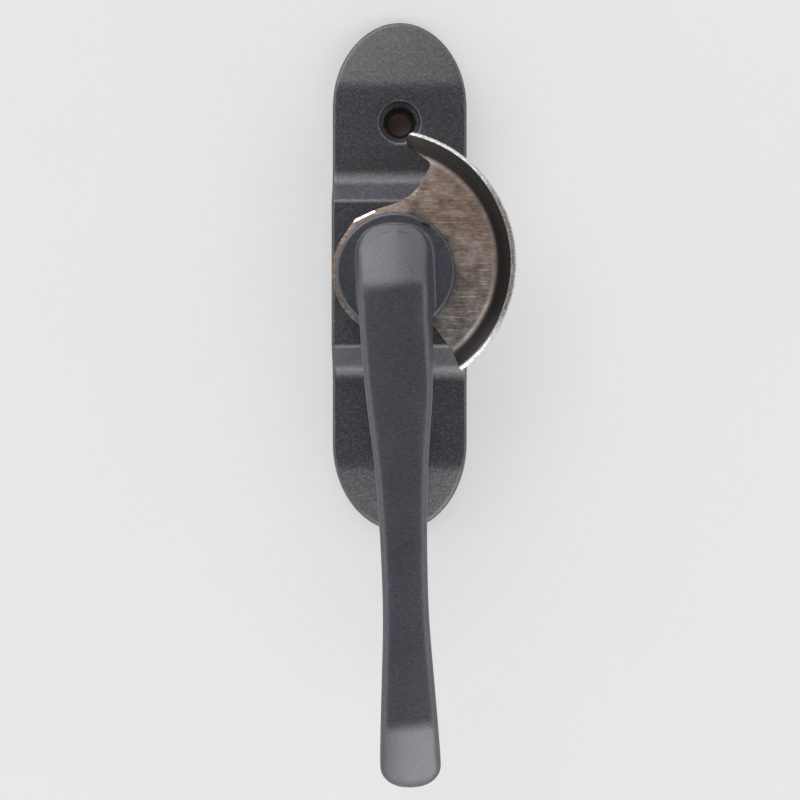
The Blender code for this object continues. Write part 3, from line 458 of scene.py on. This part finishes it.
def bare_steel(name):
    """Stamped steel brushed along X with a warm tarnish. The bent wall is painted near black as painted
    shade, paler towards the tail; the sheared rim carries painted highlights, and the fold a pinkish
    painted highlight.
    """
    made, tree, shader = material(name)
    streaks = texture(tree, "ShaderNodeTexNoise", (700, 5200, 900), Scale=1.0, Detail=3.0, Roughness=0.7)
    scores = texture(tree, "ShaderNodeTexNoise", (90, 2300, 900), Scale=1.0, Detail=2.0, Roughness=0.6)
    patches = texture(tree, "ShaderNodeTexNoise", (330, 420, 300), Scale=1.0, Detail=4.0, Roughness=0.65)
    grains = texture(tree, "ShaderNodeTexNoise", Scale=2600.0, Detail=2.0)
    place = tree.nodes.new("ShaderNodeTexCoord")
    axes = tree.nodes.new("ShaderNodeSeparateXYZ")
    tree.links.new(place.outputs["Object"], axes.inputs["Vector"])
    warm = ramp(
        tree,
        patches.outputs["Fac"],
        [(0.36, (0.25, 0.175, 0.135)), (0.50, (0.38, 0.290, 0.235)), (0.64, (0.50, 0.42, 0.37))],
    )
    grey = ramp(
        tree,
        patches.outputs["Fac"],
        [(0.36, (0.20, 0.175, 0.155)), (0.50, (0.30, 0.270, 0.250)), (0.64, (0.46, 0.43, 0.41))],
    )
    height = spread(tree, axes.outputs["Y"], -10 * mm, 8 * mm, 0.0, 1.0)
    tan = mixed(tree, height, grey, warm)
    light = ramp(tree, streaks.outputs["Fac"], [(0.36, (0.76, 0.76, 0.76)), (0.64, (1.26, 1.26, 1.26))])
    score = ramp(tree, scores.outputs["Fac"], [(0.38, (0.88, 0.88, 0.88)), (0.62, (1.12, 1.12, 1.12))])
    brushed = mixed(tree, 1.0, mixed(tree, 1.0, tan, light, "MULTIPLY"), score, "MULTIPLY")
    rare = texture(tree, "ShaderNodeTexNoise", (110, 3000, 900), Scale=1.0, Detail=1.0)
    scratches = ramp(tree, rare.outputs["Fac"], [(0.66, (1.0, 1.0, 1.0)), (0.72, (1.7, 1.7, 1.7))])
    brushed = mixed(tree, 1.0, brushed, scratches, "MULTIPLY")
    radius = radial(tree, RIM_CENTRE)
    on_wall = spread(tree, radius, FLAT_RADIUS + 0.9 * mm, FLAT_RADIUS + 1.8 * mm, 0.0, 1.0)
    on_fold = spread(tree, radius, FLAT_RADIUS + 0.1 * mm, FLAT_RADIUS + 0.8 * mm, 0.0, 0.35)
    depth = spread(tree, radius, FLAT_RADIUS + 1.2 * mm, RIM_RADIUS - 1.2 * mm, 0.0, 1.0)
    # Painted shade: the bent wall is painted near black for the dark lever that it reflects. It is darker
    # towards the rim and paler towards the tail.
    wall_shade_dark = ramp(
        tree,
        depth,
        [(0.0, (0.110, 0.098, 0.094)), (0.4, (0.048, 0.043, 0.042)), (1.0, (0.030, 0.028, 0.027))],
    )
    wall_shade_pale = ramp(
        tree,
        depth,
        [(0.0, (0.165, 0.150, 0.145)), (0.5, (0.098, 0.092, 0.090)), (1.0, (0.076, 0.071, 0.069))],
    )
    dull = ramp(tree, grains.outputs["Fac"], [(0.36, (0.055, 0.049, 0.043)), (0.64, (0.19, 0.17, 0.155))])
    bright = ramp(tree, grains.outputs["Fac"], [(0.36, (0.28, 0.27, 0.26)), (0.64, (0.60, 0.60, 0.61))])
    towards_tip = spread(tree, axes.outputs["Y"], 13 * mm, 20 * mm, 0.0, 1.0)
    towards_tail = spread(tree, axes.outputs["Y"], -7 * mm, -14 * mm, 0.0, 1.0)
    wall_painted_shade = mixed(tree, towards_tail, wall_shade_dark, wall_shade_pale)
    # Painted highlight: the sheared rim is painted bright towards the tip and the tail, and along its
    # outer and inner edges.
    tip_and_tail = larger(tree, towards_tip, towards_tail)
    outer_edge = spread(tree, radius, RIM_RADIUS - 0.30 * mm, RIM_RADIUS - 0.15 * mm, 0.0, 0.55)
    inner_edge = spread(tree, radius, RIM_RADIUS - 0.75 * mm, RIM_RADIUS - 0.95 * mm, 0.0, 0.45)
    rim_painted_highlight = larger(tree, tip_and_tail, larger(tree, outer_edge, inner_edge))
    sheared = mixed(tree, rim_painted_highlight, dull, bright)
    # The sheared face is narrower towards the tip and the tail
    narrowed = add_node(tree, "ShaderNodeMath", operation="MULTIPLY_ADD")
    narrowed.inputs[1].default_value = -0.35 * mm
    tree.links.new(tip_and_tail, narrowed.inputs[0])
    tree.links.new(radius, narrowed.inputs[2])
    edge = narrowed.outputs["Value"]
    on_rim = spread(tree, edge, RIM_RADIUS - 1.10 * mm, RIM_RADIUS - 0.95 * mm, 0.0, 1.0)
    # Painted highlight: the fold is tinted a lighter pink along the bend.
    fold = mixed(tree, on_fold, brushed, (0.44, 0.34, 0.31))
    colour = mixed(tree, on_rim, mixed(tree, on_wall, fold, wall_painted_shade), sheared)
    tree.links.new(colour, shader.inputs["Base Color"])
    shader.inputs["Metallic"].default_value = 1.0
    rough = spread(tree, streaks.outputs["Fac"], 0.3, 0.7, 0.48, 0.36)
    tree.links.new(rough, shader.inputs["Roughness"])
    tree.links.new(bump(tree, streaks.outputs["Fac"], 0.00001, 0.5), shader.inputs["Normal"])
    return made


def machined(name, colour, roughness, metallic=1.0, scale=900.0):
    """A plain machined, plated or moulded surface with a faint grain."""
    made, tree, shader = material(name)
    grain = texture(tree, "ShaderNodeTexNoise", Scale=scale, Detail=3.0)
    dark = tuple(c * 0.82 for c in colour)
    tone = ramp(tree, grain.outputs["Fac"], [(0.3, dark), (0.7, colour)])
    tree.links.new(tone, shader.inputs["Base Color"])
    shader.inputs["Metallic"].default_value = metallic
    rough = spread(tree, grain.outputs["Fac"], 0.3, 0.7, roughness * 1.15, roughness * 0.9)
    tree.links.new(rough, shader.inputs["Roughness"])
    tree.links.new(bump(tree, grain.outputs["Fac"], 0.00001, 0.3), shader.inputs["Normal"])
    return made


def paint(piece, made):
    piece.data.materials.clear()
    piece.data.materials.append(made)


# ---------------------------------------------------------------- base


def base_profile():
    flat = PLATEAU_HALF_LENGTH + RAMP_RUN
    half = [
        (BASE_HALF_LENGTH, END_HEIGHT, 0.0),
        (BASE_HALF_LENGTH - END_SLOPE_RUN, FLAT_HEIGHT, 8.0 * mm),
        (flat, FLAT_HEIGHT, RAMP_FILLET),
        (PLATEAU_HALF_LENGTH, PLATEAU_HEIGHT, PLATEAU_ROUND),
    ]
    return rounded([(-y, z, r) for y, z, r in half] + half[::-1], closed=False, step=math.radians(4))


def base_half_width(y):
    straight = BASE_HALF_LENGTH - END_ROUND
    beyond = max(0.0, abs(y) - straight) / END_ROUND
    return BASE_HALF_WIDTH * math.sqrt(max(0.0, 1 - beyond * beyond))


def make_base(coat):
    profile = base_profile()
    ends = end_stations(BASE_HALF_LENGTH - END_ROUND, END_ROUND, 26)
    fill = [2.0 * mm * i for i in range(-16, 17)]
    stations = thinned(ends + [-y for y in ends] + [p.x for p in profile[1:-1]] + fill, 0.06 * mm)
    rim = edge_round(RIM_ROUND, RIM_ROUND, 7)
    foot_rim = [(0.0, 0.25 * mm), (0.07 * mm, 0.07 * mm), (0.25 * mm, 0.0)]
    base = loft(
        "housing",
        base_half_width,
        stations,
        top=lambda y: height_along(profile, y),
        foot=lambda y: 0.0,
        rim=rim,
        foot_rim=lambda y: foot_rim,
        centre_x=CENTRELINE_X,
    )
    roof = PLATE_HIGH.z + RECESS_GAP
    combine(base, [prism("recess", plate_outline(), -1.5 * mm, roof), make_hollow()], "DIFFERENCE")
    bosses = [rod(f"boss_{end}", BOSS_RADIUS, roof, 4.0 * mm, end) for end in (-1, 1)]
    combine(base, bosses, "UNION")
    combine(base, [screw_seat(end) for end in (-1, 1)] + [bush_seat()], "DIFFERENCE")
    shade(base)
    paint(base, coat)
    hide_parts("base_housing")
    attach(base, "base")
    return base


def plate_outline():
    half = (PLATE_HIGH - PLATE_LOW) / 2 + Vector((RECESS_GAP, RECESS_GAP, 0))
    corner = 3.0 * mm
    corners = [(half.x, half.y), (-half.x, half.y), (-half.x, -half.y), (half.x, -half.y)]
    outline = rounded([(x, y, corner) for x, y in corners])
    return [(p.x + CENTRELINE_X, p.y) for p in outline]


def make_hollow():
    """The space for the works under the plateau."""
    half = (PLATE_HIGH.x - PLATE_LOW.x) / 2 + RECESS_GAP
    roof, low = PLATEAU_HEIGHT - 2.2 * mm, 1.2 * mm
    foot, top = PLATEAU_HALF_LENGTH + RAMP_RUN - 1.4 * mm, PLATEAU_HALF_LENGTH - 1.4 * mm
    side = [(foot, -1 * mm), (foot, low), (top, roof), (-top, roof), (-foot, low), (-foot, -1 * mm)]
    bm = bmesh.new()
    face = bm.faces.new([bm.verts.new((CENTRELINE_X - half, y, z)) for y, z in side])
    grown = bmesh.ops.extrude_face_region(bm, geom=[face])["geom"]
    verts = [g for g in grown if isinstance(g, bmesh.types.BMVert)]
    bmesh.ops.translate(bm, vec=(2 * half, 0, 0), verts=verts)
    return add_object("hollow", bm)


def rod(name, radius, low, high, end):
    return prism(name, circle(radius, (CENTRELINE_X, end * SCREW_Y)), low, high)


def screw_seat(end):
    """The cutter of a countersunk hole whose mouth is rounded by the coat."""
    depth = SCREW_HEAD_RADIUS - SCREW_BORE_RADIUS
    corners = [
        (SCREW_BORE_RADIUS, -CUT_OVER, 0.0),
        (SCREW_BORE_RADIUS, FLAT_HEIGHT - depth - SCREW_LIP, 0.4 * mm),
        (SCREW_HEAD_RADIUS, FLAT_HEIGHT - SCREW_LIP, 0.4 * mm),
        (SCREW_HEAD_RADIUS, FLAT_HEIGHT, 0.0),
    ]
    wall = rounded(corners, closed=False, step=math.radians(12))[:-1]
    level = math.radians(80)
    low = FLAT_HEIGHT - SCREW_LIP * math.sin(level)
    lip = arc((SCREW_HEAD_RADIUS + SCREW_LIP, low), SCREW_LIP, math.pi, math.pi - level, 6)
    along = (lip[-1] - lip[-2]).normalized()
    lip.append(lip[-1] + along * 0.8 * mm)
    profile = [(0.0, -CUT_OVER)] + [tuple(p) for p in wall] + [tuple(p) for p in lip]
    profile += [(lip[-1].x, FLAT_HEIGHT + CUT_OVER), (0.0, FLAT_HEIGHT + CUT_OVER)]
    return turned(f"screw_seat_{end}", profile, (CENTRELINE_X, end * SCREW_Y))


def bush_seat():
    seat = circle(BUSH_SEAT_RADIUS)
    return prism("bush_seat", seat, PLATEAU_HEIGHT - 3.0 * mm, PLATEAU_HEIGHT + CUT_OVER)


# ---------------------------------------------------------------- crescent


def crescent_outline():
    reach = RIM_RADIUS + 0.3 * mm
    rim = arc(RIM_CENTRE, reach, math.radians(-53.5), math.radians(75.5), 90)
    nose = arc(NOSE_CENTRE, NOSE_RADIUS, math.radians(80), math.radians(222), 24)
    nose += rounded(
        [
            (nose[-1].x, nose[-1].y, 0.0),
            (6.75 * mm, 20.90 * mm, 1.0 * mm),
            (6.30 * mm, 19.4 * mm, 0.0),
        ],
        closed=False,
    )[1:-1]
    throat = arc(THROAT_CENTRE, THROAT_RADIUS, math.radians(-20), math.radians(-76), 28)
    facet = [p.copy() for p in RING_FACET]
    ring = arc((0, 0), RING_RADIUS, math.radians(145), math.radians(306), 80)
    lower = [Vector((9.75, -13.45)) * mm, Vector((11.25, -15.9)) * mm, Vector((12.15, -18.3)) * mm]
    return rim + nose + throat + facet + ring + lower


def crescent_section():
    bend_centre = (FLAT_RADIUS, CRESCENT_TOP + BEND)
    down = -math.pi / 2
    inner_bend = arc(bend_centre, BEND, down, down + FLARE, 10)
    outer_bend = arc(bend_centre, BEND + SHEET, down, down + FLARE, 10)
    edge = Vector((math.sin(FLARE), -math.cos(FLARE))) * SHEET
    run = RIM_RADIUS - edge.x - inner_bend[-1].x
    inner_edge = inner_bend[-1] + Vector((run, run * math.tan(FLARE)))
    start = 1.0 * mm
    below = [(start, CRESCENT_FOOT)] + outer_bend + [inner_edge + edge]
    above = [inner_edge] + inner_bend[::-1] + [(start, CRESCENT_TOP)]
    return below + above


def facet_chamfer():
    """The cutter of the bright chamfer along the ring's facet."""
    near, far = RING_FACET
    along = (far - near).normalized()
    out = Vector((along.y, -along.x))
    if out.dot(near) < 0:
        out = -out
    side = [(0.3 * mm, -0.8 * mm), (0.3 * mm, 0.3 * mm), (-0.8 * mm, 0.3 * mm)]
    bm = bmesh.new()
    ends = []
    for p in (near - along * 0.5 * mm, far + along * 0.5 * mm):
        ends.append([bm.verts.new((*(p + out * u), CRESCENT_TOP + z)) for u, z in side])
    bm.faces.new(ends[0])
    bm.faces.new(ends[1][::-1])
    for i in range(3):
        j = (i + 1) % 3
        bm.faces.new((ends[0][i], ends[0][j], ends[1][j], ends[1][i]))
    return add_object("facet_chamfer", bm)


def make_crescent(steel, burr):
    crescent = turned("crescent", crescent_section(), RIM_CENTRE, count=240)
    low, high = CRESCENT_FOOT - CUT_OVER, CRESCENT_HIGH.z + CUT_OVER
    combine(crescent, [prism("crescent_plan", crescent_outline(), low, high)], "INTERSECT")
    hole = square(SOCKET_SIDE, SOCKET_CORNER)
    combine(crescent, [prism("crescent_hole", hole, low, high)], "DIFFERENCE")
    combine(crescent, [facet_chamfer()], "DIFFERENCE")
    soften(crescent, CUT_EDGE_ROUND)
    shade(crescent)
    paint(crescent, steel)
    crescent.data.materials.append(burr)
    for face in crescent.data.polygons:
        on_flat = face.center.z < CRESCENT_TOP + 0.05 * mm
        on_wall = (Vector(face.center[:2]) - RIM_CENTRE).length > FLAT_RADIUS + 1.0 * mm
        at_socket = Vector(face.center[:2]).length < 7 * mm
        if 0.25 < face.normal.z < 0.97 and on_flat and not on_wall and not at_socket:
            face.material_index = 1
    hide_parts("crescent_cam")
    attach(crescent, "lever")
    return crescent


# ---------------------------------------------------------------- lever

# Half-widths along the lever: share of the reach below the spindle's axis, half-width
HALF_WIDTHS = [
    (-0.02, 7.15 * mm),
    (0.06, 7.10 * mm),
    (0.14, 6.85 * mm),
    (0.25, 6.15 * mm),
    (0.37, 5.05 * mm),
    (0.48, 4.48 * mm),
    (0.60, 4.26 * mm),
    (0.68, 4.36 * mm),
    (0.80, 4.98 * mm),
    (0.93, 5.66 * mm),
    (0.97, 5.72 * mm),
]
RIDGE = [
    (-NECK_LENGTH, 0.9 * mm, 0.0),
    (3.0 * mm, 8.7 * mm, 5.0 * mm),
    (52.0 * mm, 10.0 * mm, 60.0 * mm),
    (LEVER_REACH - GRIP_SLOPE_RUN, 9.4 * mm, 6.0 * mm),
    (LEVER_REACH, 2.5 * mm, 0.0),
]
UNDERSIDE = [
    (-NECK_LENGTH, -0.05 * mm, 0.0),
    (9.0 * mm, -0.05 * mm, 0.6 * mm),
    (12.5 * mm, 1.5 * mm, 2.0 * mm),
    (60.0 * mm, 1.3 * mm, 60.0 * mm),
    (LEVER_REACH, -0.3 * mm, 0.0),
]
# A chip in the coat of the hub's face, in mm
CHIP = [(4.75, 9.25), (5.25, 8.65), (6.75, 8.15), (6.55, 8.75), (5.75, 9.25)]


def lever_half_width(y):
    below = -y
    width = smooth_along(HALF_WIDTHS, below / LEVER_REACH)
    neck = max(0.0, (NECK_ROUND - NECK_LENGTH - below) / NECK_ROUND)
    grip = max(0.0, (below - LEVER_REACH + GRIP_ROUND) / GRIP_ROUND)
    neck_share = max(0.0, 1 - neck**NECK_FULLNESS) ** (1 / NECK_FULLNESS)
    grip_share = max(0.0, 1 - grip**GRIP_FULLNESS) ** (1 / GRIP_FULLNESS)
    return width * neck_share * grip_share


def make_lever(coat):
    fine = math.radians(3)
    ridge = rounded([(y, HUB_TOP + z, r) for y, z, r in RIDGE], closed=False, step=fine)
    underside = rounded([(y, HUB_TOP + z, r) for y, z, r in UNDERSIDE], closed=False, step=fine)
    neck = end_stations(NECK_LENGTH - NECK_ROUND, NECK_ROUND, 26)
    grip = [-y for y in end_stations(LEVER_REACH - GRIP_ROUND, GRIP_ROUND, 22)]
    along = [-p.x for line in (ridge, underside) for p in line[1:-1]]
    fill = [-1.0 * mm * i for i in range(-2, 94)]
    rim = edge_round(LEVER_RIM_WIDTH, LEVER_RIM_DROP, 12, LEVER_CROWN)
    turns = [math.pi / 2 * i / 7 for i in range(8)]

    def foot_rim(y):
        away = smoothstep(6.5 * mm, 10.5 * mm, -y)
        width = -0.7 * mm + 2.1 * mm * away
        lift = 1.0 * mm + 0.8 * mm * away
        return [(width * (1 - math.cos(t)), lift * (1 - math.sin(t))) for t in turns]

    arm = loft(
        "arm",
        lever_half_width,
        thinned(neck + grip + along + fill, 0.05 * mm),
        top=lambda y: height_along(ridge, -y),
        foot=lambda y: height_along(underside, -y),
        rim=rim,
        foot_rim=foot_rim,
        crown=LEVER_CROWN,
    )
    for vert in arm.data.vertices:
        x, y, z = vert.co
        top, foot = height_along(ridge, -y), height_along(underside, -y)
        up = min(1.0, max(0.0, (z - foot) / (top - foot)))
        near_neck = smoothstep(-24 * mm, -8 * mm, y)
        if x > 0:
            vert.co.x -= NECK_DRAFT * near_neck * up * x / max(lever_half_width(y), 2 * mm)
    arm.rotation_euler.z = LEVER_LEAN
    round_over = arc((HUB_RADIUS - HUB_ROUND, HUB_TOP - HUB_ROUND), HUB_ROUND, 0, math.pi / 2, 8)
    profile = [(0.0, HUB_FOOT), (HUB_RADIUS - 0.15 * mm, HUB_FOOT), (HUB_RADIUS, HUB_FOOT + 0.15 * mm)]
    lever = turned("lever", profile + [tuple(p) for p in round_over] + [(0.0, HUB_TOP)], count=160)
    combine(lever, [arm], "UNION")
    chip = rounded([(x * mm, y * mm, 0.2 * mm) for x, y in CHIP])
    socket = square(SOCKET_SIDE, SOCKET_CORNER)
    cutters = [
        prism("chip", chip, HUB_TOP - 0.45 * mm, HUB_TOP + CUT_OVER),
        prism("socket", socket, 0.0, SPINDLE_TOP + TOP_GAP),
        prism("tapped", circle(TAPPED_RADIUS), 0.0, RETAINING_SCREW_TOP + TOP_GAP),
    ]
    combine(lever, cutters, "DIFFERENCE")
    shade(lever)
    paint(lever, coat)
    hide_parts("crank_handle")
    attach(lever, "lever")
    return lever


# ---------------------------------------------------------------- stage

FLOOR_TONE = (0.30, 0.30, 0.30)
FLOOR_GLOW = 0.41
# Painted shade: a dark brown for the floor under the base, seen down the screw holes
UNDER_BASE_PAINTED_SHADE = (0.22, 0.155, 0.140)  # of the floor under the base
TENT_STRENGTH = 4.0
# The tent's tone from the horizon up: sine of the elevation, share of the strength
TENT_TONES = [
    (0.0, 1.0),
    (0.14, 0.85),
    (0.30, 0.36),
    (0.50, 0.14),
    (0.70, 0.055),
    (0.88, 0.027),
    (0.95, 0.033),
    (1.0, 0.138),
]


def make_floor():
    """Pale paper that glows a little, as on a light table. Where the base covers it, it is painted dark
    brown as painted shade and does not glow.
    """
    made, tree, shader = material("studio_floor")
    lit_paper = tuple(c * 1.02 for c in FLOOR_TONE)
    grain = texture(tree, "ShaderNodeTexNoise", Scale=30.0, Detail=2.0)
    paper = ramp(tree, grain.outputs["Fac"], [(0.3, FLOOR_TONE), (0.7, lit_paper)])
    place = tree.nodes.new("ShaderNodeTexCoord")
    axes = tree.nodes.new("ShaderNodeSeparateXYZ")
    tree.links.new(place.outputs["Object"], axes.inputs["Vector"])
    covered = []
    for axis, middle, half in (("X", CENTRELINE_X, 8 * mm), ("Y", 0.0, 42 * mm)):
        offset = add_node(tree, "ShaderNodeMath", operation="SUBTRACT")
        offset.inputs[1].default_value = middle
        tree.links.new(axes.outputs[axis], offset.inputs[0])
        away = add_node(tree, "ShaderNodeMath", operation="ABSOLUTE")
        tree.links.new(offset.outputs["Value"], away.inputs[0])
        covered.append(spread(tree, away.outputs["Value"], half, half + 2 * mm, 1.0, 0.0))
    both = add_node(tree, "ShaderNodeMath", operation="MULTIPLY")
    tree.links.new(covered[0], both.inputs[0])
    tree.links.new(covered[1], both.inputs[1])
    # Painted shade: the floor under the base takes the dark brown tone
    tone = mixed(tree, both.outputs["Value"], paper, UNDER_BASE_PAINTED_SHADE)
    tree.links.new(tone, shader.inputs["Base Color"])
    glow = spread(tree, both.outputs["Value"], 0.0, 1.0, FLOOR_GLOW, 0.0)
    shader.inputs["Emission Color"].default_value = (1, 1, 1, 1)
    tree.links.new(glow, shader.inputs["Emission Strength"])
    shader.inputs["Roughness"].default_value = 0.8
    shader.inputs["Specular IOR Level"].default_value = 0.1
    bm = bmesh.new()
    bmesh.ops.create_grid(bm, x_segments=4, y_segments=4, size=3.0)
    floor = add_object("floor", bm)
    paint(floor, made)


def softbox(name, place, target, width, height, power):
    light = bpy.data.lights.new(name, "AREA")
    light.shape = "RECTANGLE"
    light.size, light.size_y = width, height
    light.energy = power
    lamp = bpy.data.objects.new(name, light)
    lamp.location = place
    lamp.rotation_euler = (Vector(target) - Vector(place)).to_track_quat("-Z", "Y").to_euler()
    bpy.context.scene.collection.objects.link(lamp)


def make_lights():
    aim = (0.0, -0.02, 0.0)
    softbox("light_low_y", (0.25, -1.00, 0.54), aim, 1.3, 1.00, 16.0)
    softbox("light_high_y", (-0.45, 0.95, 0.56), aim, 1.3, 1.15, 12.8)
    make_tent()


def make_tent():
    """A tent that is bright near the horizon, dark above it and dim overhead."""
    world = bpy.data.worlds.new("studio")
    bpy.context.scene.world = world
    world.use_nodes = True
    tree = world.node_tree
    direction = tree.nodes.new("ShaderNodeTexCoord")
    axes = tree.nodes.new("ShaderNodeSeparateXYZ")
    tree.links.new(direction.outputs["Generated"], axes.inputs["Vector"])
    tone = ramp(tree, axes.outputs["Z"], [(z, (v, v, v)) for z, v in TENT_TONES])
    tree.links.new(tone, tree.nodes["Background"].inputs["Color"])
    tree.nodes["Background"].inputs["Strength"].default_value = TENT_STRENGTH


def make_camera():
    camera = bpy.data.cameras.new("camera")
    camera.sensor_width = 36.0
    camera.lens = 95.6
    camera.clip_start, camera.clip_end = 0.01, 10.0
    holder = bpy.data.objects.new("camera", camera)
    holder.location = (0.86 * mm, -24.31 * mm, 420 * mm)
    bpy.context.scene.collection.objects.link(holder)
    bpy.context.scene.camera = holder


# ---------------------------------------------------------------- scene

bpy.context.scene.view_settings.view_transform = "Standard"
coat = powder_coat(
    "charcoal_powder_coat",
    [(0.018, 0.0172, 0.0212), (0.030, 0.0290, 0.0354), (0.062, 0.061, 0.070)],
    1900.0,
    0.00008,
)
lever_coat = powder_coat(
    "charcoal_lever_coat",
    [(0.0165, 0.0184, 0.0228), (0.0245, 0.0272, 0.0335), (0.046, 0.051, 0.061)],
    3200.0,
    0.00007,
)
steel = bare_steel("bare_stamped_steel")
burr = machined("sheared_burr", (0.95, 0.94, 0.92), 0.50, scale=2200.0)
zinc = machined("bright_zinc_plate", (0.60, 0.61, 0.63), 0.32)
# Painted shade: a near-black plate finish, so the bottom of each screw bore reads as deep shade
painted_shade_plate = machined("dark_plate_for_painted_shade", (0.045, 0.043, 0.042), 0.40)
turned_steel = machined("turned_steel", (0.45, 0.45, 0.46), 0.30)
spring = machined("spring_steel", (0.28, 0.28, 0.30), 0.28)
nylon = machined("natural_nylon", (0.72, 0.70, 0.63), 0.45, 0.0)

make_base(coat)
make_crescent(steel, burr)
make_lever(lever_coat)
# Painted shade: the back plate is painted near black
paint(nodes["back_plate"], painted_shade_plate)
for name in [f"cover_screw_{i}" for i in (1, 2, 3, 4)] + ["plain_washer", "retaining_screw"]:
    paint(nodes[name], zinc)
for name in ("spindle", "stop_disc"):
    paint(nodes[name], turned_steel)
for name in ("leaf_spring_left", "leaf_spring_right", "wave_washer", "lock_washer"):
    paint(nodes[name], spring)
for name in ("flanged_bush", "thrust_washer", "detent_cam"):
    paint(nodes[name], nylon)

make_floor()
make_lights()
make_camera()
